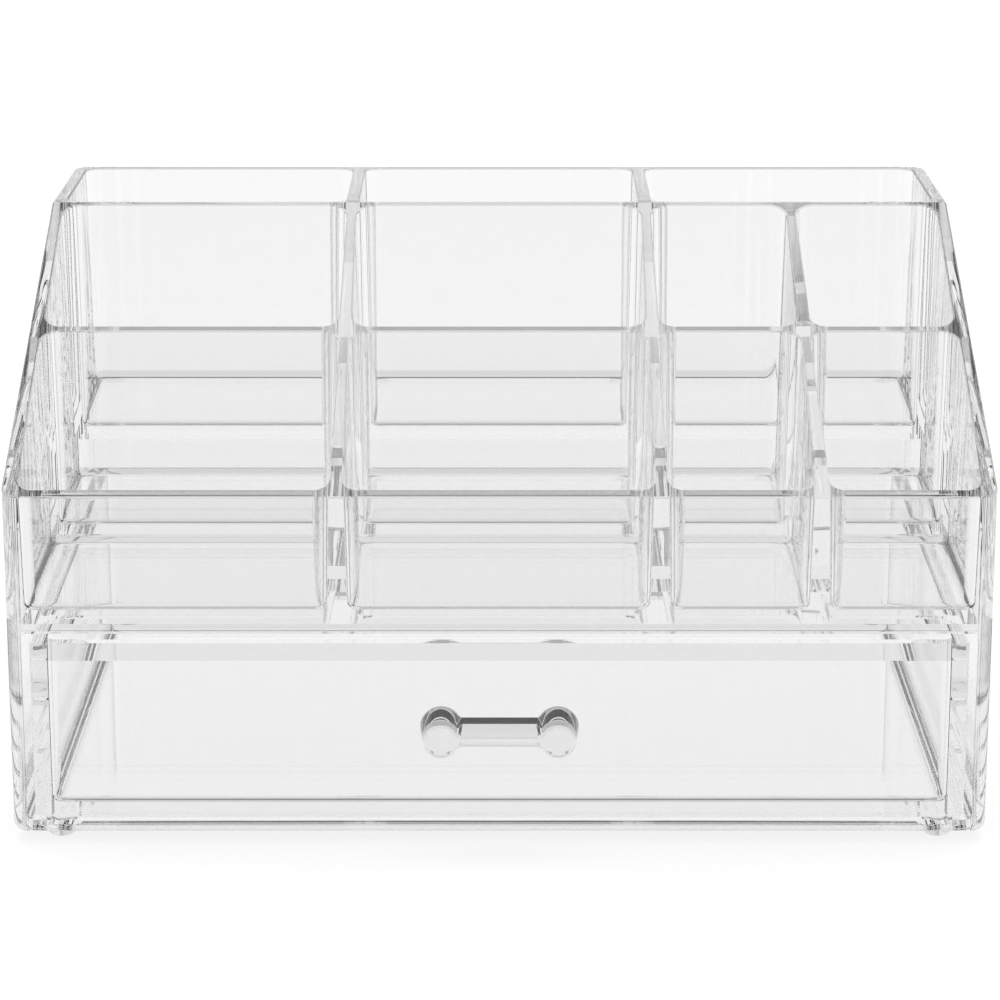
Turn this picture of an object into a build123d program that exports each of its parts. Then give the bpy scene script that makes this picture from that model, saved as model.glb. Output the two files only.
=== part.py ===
from build123d import *
from build123d.topology import SkipClean
from math import radians, tan
import os

# Clear stepped makeup organizer: open pockets in three rows over one wide drawer.
# Millimetres. +X is to the right, +Y to the back and +Z up. The origin is on the surface that the
# organizer stands on, under the middle of everything it occupies, handle included.
# The functions work from the shell's own datum, the foot of its front face: X = 0 in the middle,
# Y = 0 on the front face and Z = 0 on the underside. to_part_frame() then moves each piece once.

# Shell
BODY_WIDTH = 266.7
BODY_DEPTH = 190.5
BODY_HEIGHT = 151.0
FRONT_HEIGHT = 95.6
SIDE_WALL = 4.0
FRONT_WALL = 3.5
REAR_WALL = 3.5
LAND_DEPTH = 61.0
RIM_EDGE_RADIUS = 0.6
FRONT_CORNER_RADIUS = 4.5
REAR_CORNER_RADIUS = 5.0
BASE_EDGE_RADIUS = 2.6

# Pockets
DIVIDER_WALL = 3.9
CROSS_WALL = 3.4
FRONT_ROW_DEPTH = 65.2
MIDDLE_ROW_DEPTH = 55.6
WIDE_COLUMN = 83.5
NARROW_COLUMN = 39.2
FRONT_ROW_FLOOR = 63.0
MIDDLE_ROW_FLOOR = 66.8
REAR_ROW_FLOOR = 80.3
FLOOR_SLAB = 3.5
POCKET_CORNER_RADIUS = 3.5
POCKET_FLOOR_RADIUS = 2.2
POCKET_DRAFT = 1.2

# Drawer bay under the pockets
BAY_FLOOR = 4.0
BAY_OPENING_TOP = 57.4
BAY_TOP_CORNER_RADIUS = 1.5
BAY_BOTTOM_CORNER_RADIUS = 2.0

# Drawer
DRAWER_SIDE_GAP = 2.3
DRAWER_LIFT = 0.25
DRAWER_HEIGHT = 50.2
DRAWER_DEPTH = 165.0
DRAWER_WALL = 4.2
DRAWER_FLOOR = 3.8
DRAWER_OUTER_CORNER_RADIUS = 1.0
DRAWER_BASE_EDGE_RADIUS = 2.0
DRAWER_INNER_CORNER_RADIUS = 3.0
DRAWER_INNER_FLOOR_RADIUS = 2.0
LIP_BEVEL_HEIGHT = 4.7
LIP_BEVEL_DEPTH = 0.9

# Dog-bone handle, bonded to the drawer's front
HANDLE_CENTRE_HEIGHT = 26.75
HANDLE_LOBE_SPACING = 31.6
HANDLE_LOBE_DIAMETER = 11.6
HANDLE_BAR_HEIGHT = 5.2
HANDLE_PROJECTION = 12.7
HANDLE_DRAFT = 5.0
HANDLE_NECK_RADIUS = 1.2
HANDLE_FACE_RADIUS = 0.8

# Stick-on bumpers under the four corners
FOOT_DIAMETER = 9.0
FOOT_TIP_DIAMETER = 4.4
FOOT_HEIGHT = 2.5
FOOT_SIDE_INSET = 12.7
FOOT_END_INSET = 8.0
ADHESIVE_DIAMETER = 8.0
ADHESIVE_THICKNESS = 0.2

# Cutting tools run this far past the face that they break through.
CUT_OVERRUN = 5.0
# The outline of a bonded area is drawn on a face by a stamp that sinks this far into the wall.
STAMP_DEPTH = 1.0
# A face counts as a rim when its normal leans up at least this much.
RIM_NORMAL_Z = 0.5

# Places that follow from the sizes above
HALF_WIDTH = BODY_WIDTH / 2
INNER_HALF_WIDTH = HALF_WIDTH - SIDE_WALL
FRONT_ROW_START = FRONT_WALL
FRONT_ROW_END = FRONT_ROW_START + FRONT_ROW_DEPTH
MIDDLE_ROW_START = FRONT_ROW_END + CROSS_WALL
MIDDLE_ROW_END = MIDDLE_ROW_START + MIDDLE_ROW_DEPTH
REAR_ROW_START = MIDDLE_ROW_END + CROSS_WALL
REAR_ROW_END = BODY_DEPTH - REAR_WALL
SLOPE_RUN = BODY_DEPTH - LAND_DEPTH
SLOPE = (BODY_HEIGHT - FRONT_HEIGHT) / SLOPE_RUN
STAND_HEIGHT = FOOT_HEIGHT + ADHESIVE_THICKNESS
DRAWER_BASE = BAY_FLOOR + DRAWER_LIFT
DRAWER_WIDTH = 2 * (INNER_HALF_WIDTH - DRAWER_SIDE_GAP)
OVERALL_MIDDLE_Y = (BODY_DEPTH - HANDLE_PROJECTION) / 2


def span_box(x, y, z):
    """Box between two values on each axis."""
    size = [high - low for low, high in (x, y, z)]
    middle = [(high + low) / 2 for low, high in (x, y, z)]
    return Pos(*middle) * Box(*size)


def upright_edges(solid):
    return solid.edges().filter_by(Axis.Z)


def outlined(solid, stamp):
    """The same solid, with the outline of a stamp that reaches into it drawn on its face. A bonded
    area is a face of its own in this way."""
    with SkipClean():
        return (solid - stamp) + (solid & stamp)


def rim_height(y):
    """Height of the rims at a distance from the front face: a slope, then the flat land."""
    return min(FRONT_HEIGHT + SLOPE * y, BODY_HEIGHT)


def column_walls():
    """Left and right limits of each pocket in the four-pocket rows, from left to right."""
    first_divider = -INNER_HALF_WIDTH + WIDE_COLUMN
    second_pocket = first_divider + DIVIDER_WALL
    second_divider = second_pocket + WIDE_COLUMN
    third_pocket = second_divider + DIVIDER_WALL
    third_divider = third_pocket + NARROW_COLUMN
    fourth_pocket = third_divider + DIVIDER_WALL
    return [
        (-INNER_HALF_WIDTH, first_divider),
        (second_pocket, second_divider),
        (third_pocket, third_divider),
        (fourth_pocket, INNER_HALF_WIDTH),
    ]


def shell_block():
    """Outer form: upright corners and bottom edges rounded, rims sloping up to a flat land."""
    block = span_box((-HALF_WIDTH, HALF_WIDTH), (0, BODY_DEPTH), (0, BODY_HEIGHT))
    corners = upright_edges(block).sort_by(Axis.Y)
    block = fillet(corners[:2], FRONT_CORNER_RADIUS)
    corners = upright_edges(block).sort_by(Axis.Y)
    block = fillet(corners[-2:], REAR_CORNER_RADIUS)
    block = fillet(block.faces().sort_by(Axis.Z)[0].edges(), BASE_EDGE_RADIUS)
    profile = Polyline(
        (-CUT_OVERRUN, rim_height(-CUT_OVERRUN)),
        (SLOPE_RUN, BODY_HEIGHT),
        (SLOPE_RUN, BODY_HEIGHT + CUT_OVERRUN),
        (-CUT_OVERRUN, BODY_HEIGHT + CUT_OVERRUN),
        close=True,
    )
    wedge = extrude(Plane.YZ * make_face(profile), amount=HALF_WIDTH + CUT_OVERRUN, both=True)
    return block - wedge


def pocket(x, y, floor):
    """Pocket with rounded corners and floor. It has its full size at its front rim, and its draft
    makes it narrower below that and wider above."""
    mouth = rim_height(y[0])
    inset = (mouth - floor) * tan(radians(POCKET_DRAFT))
    outline = RectangleRounded(
        x[1] - x[0] - 2 * inset, y[1] - y[0] - 2 * inset, POCKET_CORNER_RADIUS
    )
    rise = BODY_HEIGHT + CUT_OVERRUN - floor
    place = Pos((x[0] + x[1]) / 2, (y[0] + y[1]) / 2, floor)
    tool = extrude(place * outline, amount=rise, taper=-POCKET_DRAFT)
    return fillet(tool.faces().sort_by(Axis.Z)[0].edges(), POCKET_FLOOR_RADIUS)


def pocket_tools():
    """The eleven pockets: four in front, four in the middle and three at the back."""
    columns = column_walls()
    front = [pocket(x, (FRONT_ROW_START, FRONT_ROW_END), FRONT_ROW_FLOOR) for x in columns]
    middle = [pocket(x, (MIDDLE_ROW_START, MIDDLE_ROW_END), MIDDLE_ROW_FLOOR) for x in columns]
    rear_columns = columns[:2] + [(columns[2][0], columns[3][1])]
    rear = [pocket(x, (REAR_ROW_START, REAR_ROW_END), REAR_ROW_FLOOR) for x in rear_columns]
    return front + middle + rear


def bay_opening():
    """Tool for the mouth of the drawer bay, with rounded corners, from front to back."""
    side = (-INNER_HALF_WIDTH, INNER_HALF_WIDTH)
    mouth = span_box(side, (-CUT_OVERRUN, REAR_ROW_END), (BAY_FLOOR, BAY_OPENING_TOP))
    corners = mouth.edges().filter_by(Axis.Y).sort_by(Axis.Z)
    mouth = fillet(corners[:2], BAY_BOTTOM_CORNER_RADIUS)
    corners = mouth.edges().filter_by(Axis.Y).sort_by(Axis.Z)
    return fillet(corners[-2:], BAY_TOP_CORNER_RADIUS)


def bay_roof():
    """Tool for the space above the mouth's top edge: it rises in steps under the pocket floors."""
    steps = [
        (FRONT_ROW_START, MIDDLE_ROW_START, FRONT_ROW_FLOOR),
        (MIDDLE_ROW_START, REAR_ROW_START, MIDDLE_ROW_FLOOR),
        (REAR_ROW_START, REAR_ROW_END, REAR_ROW_FLOOR),
    ]
    side = (-INNER_HALF_WIDTH, INNER_HALF_WIDTH)
    middle_height = (BAY_FLOOR + BAY_OPENING_TOP) / 2
    boxes = [span_box(side, (y0, y1), (middle_height, top - FLOOR_SLAB)) for y0, y1, top in steps]
    return boxes[0] + boxes[1] + boxes[2]


def rim_edges(body):
    """Edges around the sloping and the flat rim faces, without the crease between the two."""
    high = body.faces().filter_by(lambda face: face.center().Z > FRONT_HEIGHT)
    rims = high.filter_by(GeomType.PLANE).filter_by(lambda face: face.normal_at().Z > RIM_NORMAL_Z)
    return rims.edges().filter_by(lambda edge: abs(edge.center().Y - SLOPE_RUN) > RIM_EDGE_RADIUS)


def organizer_body():
    """Shell with its pockets, its softened rims, the drawer bay and the outlines of the bumpers'
    adhesive."""
    body = shell_block()
    for tool in pocket_tools():
        body -= tool
    body = fillet(rim_edges(body), RIM_EDGE_RADIUS) - (bay_opening() + bay_roof())
    for x, y in foot_places().values():
        body = outlined(body, Pos(x, y) * adhesive_stamp())
    return body


def drawer_tray():
    """Open drawer: rounded outside and inside, with a shallow bevel across its front at the top, and
    the outline of the bonded handle."""
    half = DRAWER_WIDTH / 2
    top = DRAWER_BASE + DRAWER_HEIGHT
    tray = span_box((-half, half), (0, DRAWER_DEPTH), (DRAWER_BASE, top))
    tray = fillet(upright_edges(tray), DRAWER_OUTER_CORNER_RADIUS)
    tray = fillet(tray.faces().sort_by(Axis.Z)[0].edges(), DRAWER_BASE_EDGE_RADIUS)
    inside = span_box(
        (-half + DRAWER_WALL, half - DRAWER_WALL),
        (DRAWER_WALL, DRAWER_DEPTH - DRAWER_WALL),
        (DRAWER_BASE + DRAWER_FLOOR, top + CUT_OVERRUN),
    )
    inside = fillet(upright_edges(inside), DRAWER_INNER_CORNER_RADIUS)
    inside = fillet(inside.faces().sort_by(Axis.Z)[0].edges(), DRAWER_INNER_FLOOR_RADIUS)
    tray = tray - inside - lip_bevel(half, top)
    return outlined(tray, extrude(handle_plane() * handle_outline(), amount=STAMP_DEPTH, both=True))


def lip_bevel(half, top):
    """Wedge that leans the top of the drawer's front back."""
    profile = Polyline((0, top - LIP_BEVEL_HEIGHT), (LIP_BEVEL_DEPTH, top), (0, top), close=True)
    return extrude(Plane.YZ * make_face(profile), amount=half, both=True)


def handle_plane():
    """Plane of the bond, on the drawer's front, looking forward."""
    return Plane(origin=(0, 0, HANDLE_CENTRE_HEIGHT + DRAWER_BASE), x_dir=(1, 0, 0), z_dir=(0, -1, 0))


def handle_outline():
    """Dog bone: a bar between two round lobes, with its four necks rounded."""
    lobe_x = HANDLE_LOBE_SPACING / 2
    lobes = [Pos(side * lobe_x, 0) * Circle(HANDLE_LOBE_DIAMETER / 2) for side in (-1, 1)]
    outline = lobes[0] + lobes[1] + Rectangle(HANDLE_LOBE_SPACING, HANDLE_BAR_HEIGHT)
    necks = [v for v in outline.vertices() if abs(v.X) < lobe_x and abs(v.Y) > HANDLE_BAR_HEIGHT / 4]
    return fillet(necks, HANDLE_NECK_RADIUS)


def drawer_handle():
    """Dog-bone prism that narrows towards its rounded face."""
    handle = extrude(handle_plane() * handle_outline(), amount=HANDLE_PROJECTION, taper=HANDLE_DRAFT)
    return fillet(handle.faces().sort_by(Axis.Y)[0].edges(), HANDLE_FACE_RADIUS)


def foot_places():
    """Centre of each bumper on the underside, by its name."""
    x = HALF_WIDTH - FOOT_SIDE_INSET
    rows = {"front": FOOT_END_INSET, "rear": BODY_DEPTH - FOOT_END_INSET}
    return {
        f"{row}_{side}": (sign * x, y)
        for row, y in rows.items()
        for side, sign in (("left", -1), ("right", 1))
    }


def adhesive_stamp():
    """Stamp for the round area that an adhesive disc covers."""
    return Cylinder(ADHESIVE_DIAMETER / 2, 2 * STAMP_DEPTH)


def adhesive_disc(x, y):
    return Pos(x, y, -ADHESIVE_THICKNESS / 2) * Cylinder(ADHESIVE_DIAMETER / 2, ADHESIVE_THICKNESS)


def foot(x, y):
    """Dome bumper with a small flat tip, hanging from its adhesive disc. Its flank starts upright, and
    the disc's outline is drawn on its top."""
    radius = FOOT_DIAMETER / 2
    tip = FOOT_TIP_DIAMETER / 2
    flank = TangentArc((radius, 0), (tip, -FOOT_HEIGHT), tangent=(0, -1))
    outline = flank + Polyline((tip, -FOOT_HEIGHT), (0, -FOOT_HEIGHT), (0, 0), (radius, 0))
    dome = revolve(Plane.XZ * make_face(outline), Axis.Z)
    return Pos(x, y, -ADHESIVE_THICKNESS) * outlined(dome, adhesive_stamp())


def to_part_frame(piece):
    return Pos(0, -OVERALL_MIDDLE_Y, STAND_HEIGHT) * piece


def all_pieces():
    pieces = {
        "organizer_body": organizer_body(),
        "drawer_tray": drawer_tray(),
        "drawer_handle": drawer_handle(),
    }
    for name, (x, y) in foot_places().items():
        pieces[f"adhesive_{name}"] = adhesive_disc(x, y)
        pieces[f"foot_{name}"] = foot(x, y)
    return pieces


os.makedirs("parts", exist_ok=True)
for node, piece in all_pieces().items():
    export_step(to_part_frame(piece), f"parts/{node}.step")
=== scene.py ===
# %% [markdown]
# # A clear makeup organizer with one drawer
#
# The object is a pair of injection mouldings in crystal-clear polystyrene: a stepped housing with eleven open
# pockets, and a drawer with a bonded dog-bone handle. It stands on four stick-on bumpers. Nearly everything that
# the eye sees of it is refraction, so the lesson is about clear plastic: exact solids, the right index of
# refraction, and a studio whose light and dark areas draw the edges.

# %% Load the fixed frame
from math import radians

import bmesh
import bpy
from mathutils.bvhtree import BVHTree
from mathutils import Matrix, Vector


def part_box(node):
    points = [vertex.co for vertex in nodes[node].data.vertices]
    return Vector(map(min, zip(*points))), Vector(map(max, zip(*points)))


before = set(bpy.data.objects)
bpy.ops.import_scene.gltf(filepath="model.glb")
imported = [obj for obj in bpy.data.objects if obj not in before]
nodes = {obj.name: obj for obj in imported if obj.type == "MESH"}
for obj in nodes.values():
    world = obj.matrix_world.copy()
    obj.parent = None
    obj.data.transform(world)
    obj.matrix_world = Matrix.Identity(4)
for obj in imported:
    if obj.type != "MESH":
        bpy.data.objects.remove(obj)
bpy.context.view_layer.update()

MM = 0.001


# %% [markdown]
# ## Three helpers for materials
#
# Colours are written as the hex values that a colour picker shows, which are sRGB. Blender's shaders work in
# linear light, so one function converts them. Another adds one shader node with its settings and links, which
# keeps every material below to a short list of what it is made of. The last starts an empty material.

# %% Helpers: colours and shader nodes
def linear(hex_colour):
    """sRGB hex such as #F4F4F4 to a linear RGBA tuple."""
    channels = [int(hex_colour[i:i + 2], 16) / 255 for i in (1, 3, 5)]
    return tuple(c / 12.92 if c <= 0.04045 else ((c + 0.055) / 1.055) ** 2.4 for c in channels) + (1.0,)


def add_node(tree, kind, links=None, **settings):
    """A shader node. settings are its own properties or, failing that, the values of its inputs by name.
    links maps an input's name or number to the output socket that feeds it."""
    node = tree.nodes.new(kind)
    for name, value in settings.items():
        if hasattr(node, name):
            setattr(node, name, value)
        else:
            node.inputs[name.replace("_", " ")].default_value = value
    for name, socket in (links or {}).items():
        tree.links.new(socket, node.inputs[name])
    return node


def new_material(name):
    """An empty node material with its output node."""
    material = bpy.data.materials.new(name)
    material.use_nodes = True
    material.node_tree.nodes.clear()
    output = add_node(material.node_tree, "ShaderNodeOutputMaterial")
    return material, material.node_tree, output


WHITE = linear("#FFFFFF")
print("white in linear light:", WHITE)


# %% [markdown]
# ## Moulded clear polystyrene
#
# Polystyrene is pressed hot into a polished steel mould. What comes out has an index of refraction of 1.59 and a
# surface as smooth as the mould. It isn't perfectly flat: the melt cools unevenly, which leaves slow waves, 25 mm
# long and one or two thousandths of a millimetre high. They make refracted lines swim a little. A noise texture
# and a bump node give them.
#
# The plastic isn't perfectly clear either. It takes about a twentieth of the light over 100 mm, evenly for all
# colours. Nobody can see that through a 4 mm wall, but light that enters at an edge travels along inside the
# wall, so the edges are greyer than the panels. A Volume Absorption shader gives that. Index, roughness and
# density are the same everywhere, so they are set on the shaders themselves.

# %% Material: injection-moulded clear polystyrene
def moulded_clear(name, wave_mm, wave_height_mm, roughness, ior, loss_per_metre):
    """Clear plastic with slow waves in its surface and a faint grey in its depth."""
    material, tree, output = new_material(name)
    place = add_node(tree, "ShaderNodeTexCoord")
    waves = add_node(
        tree, "ShaderNodeTexNoise", {"Vector": place.outputs["Object"]},
        Scale=1 / (wave_mm * MM), Detail=1.0, Roughness=0.4,
    )
    bump = add_node(
        tree, "ShaderNodeBump", {"Height": waves.outputs["Fac"]}, Strength=1.0, Distance=wave_height_mm * MM
    )
    shader = add_node(
        tree, "ShaderNodeBsdfPrincipled", {"Normal": bump.outputs["Normal"]},
        Base_Color=WHITE, Roughness=roughness, IOR=ior, Transmission_Weight=1.0,
    )
    depth = add_node(tree, "ShaderNodeVolumeAbsorption", Color=linear("#000000"), Density=loss_per_metre)
    tree.links.new(shader.outputs["BSDF"], output.inputs["Surface"])
    tree.links.new(depth.outputs["Volume"], output.inputs["Volume"])
    return material


crystal_polystyrene = moulded_clear(
    "moulded_crystal_polystyrene", wave_mm=25, wave_height_mm=0.0015, roughness=0.0, ior=1.59, loss_per_metre=0.5
)
print("material:", crystal_polystyrene.name)


# %% [markdown]
# ## Bumpers, their adhesive and the bonds
#
# The stick-on bumpers are cast polyurethane, softer and a little hazier than polystyrene, with an index of 1.50.
# Each is held by a thin disc of acrylic adhesive, whose cut edge scatters light.
#
# The handle is bonded with solvent, which melts both faces into one. Light crosses such a joint as if nothing
# were there, and the adhesive comes close to that. If both faces kept their own refraction, the ray tracer would
# see a mirror-like film of air between them. So the bonded faces get a finish of their own that lets light by.

# %% Materials: cast polyurethane, acrylic adhesive and the bond
bumper_polyurethane = moulded_clear(
    "cast_clear_polyurethane", wave_mm=3, wave_height_mm=0.004, roughness=0.06, ior=1.50, loss_per_metre=12.0
)
bumper_adhesive = moulded_clear(
    "acrylic_adhesive_film", wave_mm=1, wave_height_mm=0.004, roughness=0.25, ior=1.47, loss_per_metre=12.0
)
bond, bond_tree, bond_output = new_material("solvent_bond")
joined = add_node(bond_tree, "ShaderNodeBsdfTransparent", Color=WHITE)
bond_tree.links.new(joined.outputs[0], bond_output.inputs["Surface"])
print("materials:", bumper_polyurethane.name, bumper_adhesive.name, bond.name)


# %% [markdown]
# ## Dress the solids
#
# The CAD solids carry exact normals on their rounded edges, and refraction depends on those, so the solids stay
# as they are and only get their finish. Each solid has two slots: its own plastic, and the bond for the faces
# that lie on another piece. Such a face is found by its centre, which lies on the other piece's surface.

# %% Assign the materials
finishes = {name: crystal_polystyrene for name in ("organizer_body", "drawer_tray", "drawer_handle")}
for name in nodes:
    if name.startswith("foot_"):
        finishes[name] = bumper_polyurethane
    if name.startswith("adhesive_"):
        finishes[name] = bumper_adhesive

for name, material in finishes.items():
    slots = nodes[name].data.materials
    slots.clear()
    slots.append(material)
    slots.append(bond)
print("dressed:", len(finishes), "pieces")

# %% Give the bonded faces their own slot
BOND_SLOT = 1
TOUCHING = 0.01 * MM


def bond_faces(piece, other):
    """Put the faces of a piece that lie on another piece into its second slot, and count them."""
    points = [other.matrix_world @ v.co for v in other.data.vertices]
    surface = BVHTree.FromPolygons(points, [p.vertices for p in other.data.polygons])
    bonded = 0
    for face in piece.data.polygons:
        place, *_ = surface.find_nearest(piece.matrix_world @ face.center, TOUCHING)
        if place is not None:
            face.material_index = BOND_SLOT
            bonded += 1
    return bonded


joints = [("drawer_tray", "drawer_handle")]
for name in nodes:
    if name.startswith("foot_"):
        disc = name.replace("foot_", "adhesive_")
        joints += [(name, disc), ("organizer_body", disc)]
for one, other in joints:
    counts = bond_faces(nodes[one], nodes[other]), bond_faces(nodes[other], nodes[one])
    print(one, "+", other, "bonded faces:", counts)


# %% [markdown]
# ## The floor
#
# The floor is a white sweep. To the camera it is mostly plain white, with a small share of matt white that takes
# the object's soft shadow. To scattered light it is matt white. A ray that comes off the plastic or through it
# passes the floor, and the room of the next step decides by the ray's direction how much light it meets.

# %% Floor
FLOOR_SIZE = 9.0
floor_mesh = bpy.data.meshes.new("studio_floor")
bm = bmesh.new()
bmesh.ops.create_grid(bm, x_segments=1, y_segments=1, size=FLOOR_SIZE / 2)
bm.to_mesh(floor_mesh)
bm.free()
floor = bpy.data.objects.new("studio_floor", floor_mesh)
bpy.context.scene.collection.objects.link(floor)

MATT_SHARE = 0.12
MATT_HEX = "#F4F4F4"


def studio_floor_material():
    """White with a faint shadow to the camera, matt to scattered light, and open to rays from the plastic."""
    material, tree, output = new_material("matt_white_sweep")
    path = add_node(tree, "ShaderNodeLightPath")
    white = add_node(tree, "ShaderNodeEmission", Color=WHITE, Strength=1.0)
    matt = add_node(tree, "ShaderNodeBsdfDiffuse", Color=linear(MATT_HEX))
    seen = add_node(tree, "ShaderNodeMixShader", {1: white.outputs[0], 2: matt.outputs[0]}, Fac=MATT_SHARE)
    let_by = add_node(tree, "ShaderNodeBsdfTransparent")
    specular = add_node(
        tree, "ShaderNodeMath", {0: path.outputs["Is Glossy Ray"], 1: path.outputs["Is Transmission Ray"]},
        operation="MAXIMUM",
    )
    scattered = add_node(
        tree, "ShaderNodeMixShader", {0: specular.outputs[0], 1: matt.outputs[0], 2: let_by.outputs[0]}
    )
    final = add_node(
        tree, "ShaderNodeMixShader",
        {0: path.outputs["Is Camera Ray"], 1: scattered.outputs[0], 2: seen.outputs[0]},
    )
    tree.links.new(final.outputs[0], output.inputs["Surface"])
    return material


floor_mesh.materials.append(studio_floor_material())
print("floor:", FLOOR_SIZE, "m across")


# %% [markdown]
# ## The room
#
# The room is a soft gradient by direction. A level sight line meets the bright sweep. A downward one meets the
# table, which is a little dimmer, and straight below lies the object's own shade. Above hangs the soft box,
# nearly as bright as the sweep. The plastic's flat walls keep a sight line's steepness, so they stay light, and
# its rims and edges throw it almost straight down, which draws them as grey lines.
#
# A ray that was mirrored on its way also sees that the room in front of the set is dark. Each wall mirrors a
# tenth of the light, so each wall in a row makes the white behind it a little greyer.

# %% Room levels
BACK_LEVEL = 1.0
FRONT_LEVEL = 0.4
BACK_EDGE = -0.2
FRONT_EDGE = -0.85
TABLE_LEVEL = 0.78
TABLE_FROM = -0.25
TABLE_FULL = -0.45
SHADE_LEVEL = 0.2
SHADE_FROM = -0.92
SHADE_FULL = -0.975
UP_LEVEL = 0.9
UP_FROM = 0.3
UP_FULL = 0.8


def soft_step(tree, value, start, end, start_level, end_level):
    """A level that changes smoothly from one value of a direction's component to another."""
    return add_node(
        tree, "ShaderNodeMapRange", {"Value": value}, interpolation_type="SMOOTHSTEP",
        From_Min=start, From_Max=end, To_Min=start_level, To_Max=end_level,
    ).outputs["Result"]


def product(tree, one, other):
    return add_node(tree, "ShaderNodeMath", {0: one, 1: other}, operation="MULTIPLY").outputs[0]


# %% Room
world = bpy.data.worlds.new("studio_room")
bpy.context.scene.world = world
world.use_nodes = True
room = world.node_tree
room.nodes.clear()
room_output = add_node(room, "ShaderNodeOutputWorld")
direction = add_node(room, "ShaderNodeTexCoord")
towards = add_node(room, "ShaderNodeSeparateXYZ", {"Vector": direction.outputs["Generated"]})
table = soft_step(room, towards.outputs["Z"], TABLE_FROM, TABLE_FULL, 1.0, TABLE_LEVEL)
shade = soft_step(room, towards.outputs["Z"], SHADE_FROM, SHADE_FULL, 1.0, SHADE_LEVEL)
above = soft_step(room, towards.outputs["Z"], UP_FROM, UP_FULL, 1.0, UP_LEVEL)
seen_through = product(room, product(room, table, shade), above)
backdrop = soft_step(room, towards.outputs["Y"], FRONT_EDGE, BACK_EDGE, FRONT_LEVEL, BACK_LEVEL)
mirrored = product(room, seen_through, backdrop)

sight = add_node(room, "ShaderNodeLightPath")
was_mirrored = add_node(room, "ShaderNodeMath", {0: sight.outputs["Glossy Depth"]}, operation="GREATER_THAN")
through = add_node(room, "ShaderNodeMix", {"Factor": was_mirrored.outputs[0], "A": seen_through, "B": mirrored})
level = add_node(
    room, "ShaderNodeMix", {"Factor": sight.outputs["Is Camera Ray"], "A": through.outputs["Result"]}, B=1.0,
)
light = add_node(room, "ShaderNodeBackground", {"Strength": level.outputs["Result"]}, Color=WHITE)
room.links.new(light.outputs[0], room_output.inputs["Surface"])
print("room levels: front", FRONT_LEVEL, "back", BACK_LEVEL, "shade", SHADE_LEVEL, "up", UP_LEVEL)


# %% [markdown]
# ## The lamp
#
# One large soft box overhead lights the matt floor and gives the shadow its soft edge. The plastic already meets
# it as the bright upper part of the room, so the lamp itself stays out of mirrored and refracted rays.

# %% Lamp
LAMP_POWER = 32
LAMP_WIDTH = 1.6
LAMP_DEPTH = 1.0
LAMP_PLACE = (0.0, 0.3, 1.5)

soft_box = bpy.data.lights.new("overhead_box", "AREA")
soft_box.shape = "RECTANGLE"
soft_box.size, soft_box.size_y = LAMP_WIDTH, LAMP_DEPTH
soft_box.energy = LAMP_POWER
hanger = bpy.data.objects.new("overhead_box", soft_box)
hanger.location = LAMP_PLACE
hanger.visible_glossy = hanger.visible_transmission = False
bpy.context.scene.collection.objects.link(hanger)
print("lamp:", hanger.name, LAMP_POWER, "W")


# %% [markdown]
# ## The camera
#
# A long lens from a little above. Its numbers come from fitting the organizer's corners to the picture: the
# distance and height are measured from the foot of the housing's front wall.

# %% Camera
FOCAL_PIXELS = 3482.0
PICTURE_PIXELS = 1000.0
CENTRE_SHIFT_PIXELS = 0.5
PITCH_DOWN = 15.52
CAMERA_AHEAD = 894.7 * MM
CAMERA_HEIGHT = 343.3 * MM
SENSOR_WIDTH = 36.0
NEAREST_SEEN = 0.01

housing_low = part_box("organizer_body")[0]
lens = bpy.data.cameras.new("studio_camera")
lens.sensor_width = SENSOR_WIDTH
lens.lens = FOCAL_PIXELS * SENSOR_WIDTH / PICTURE_PIXELS
lens.shift_x = CENTRE_SHIFT_PIXELS / PICTURE_PIXELS
lens.clip_start = NEAREST_SEEN
camera = bpy.data.objects.new("studio_camera", lens)
camera.location = (0.0, housing_low[1] - CAMERA_AHEAD, housing_low[2] + CAMERA_HEIGHT)
camera.rotation_euler = (radians(90 - PITCH_DOWN), 0.0, 0.0)
bpy.context.scene.collection.objects.link(camera)
bpy.context.scene.camera = camera
print("lens (mm):", round(lens.lens, 2), "camera at", tuple(round(v, 4) for v in camera.location))


# %% [markdown]
# ## Render settings
#
# Light crosses up to a dozen clear walls here, and each wall is two surfaces. With the usual dozen bounces the
# inner walls turn black, so the limits are raised. Caustics are off, because the floor is lit well without them
# and they only add noise.

# %% Light bounces and view
CROSSINGS = 48
MIRRORINGS = 24
BOND_CROSSINGS = 16

scene = bpy.context.scene
scene.view_settings.view_transform = "Standard"
scene.cycles.max_bounces = scene.cycles.transmission_bounces = CROSSINGS
scene.cycles.glossy_bounces = MIRRORINGS
scene.cycles.transparent_max_bounces = BOND_CROSSINGS
scene.cycles.caustics_reflective = scene.cycles.caustics_refractive = False
print("bounces:", scene.cycles.max_bounces)
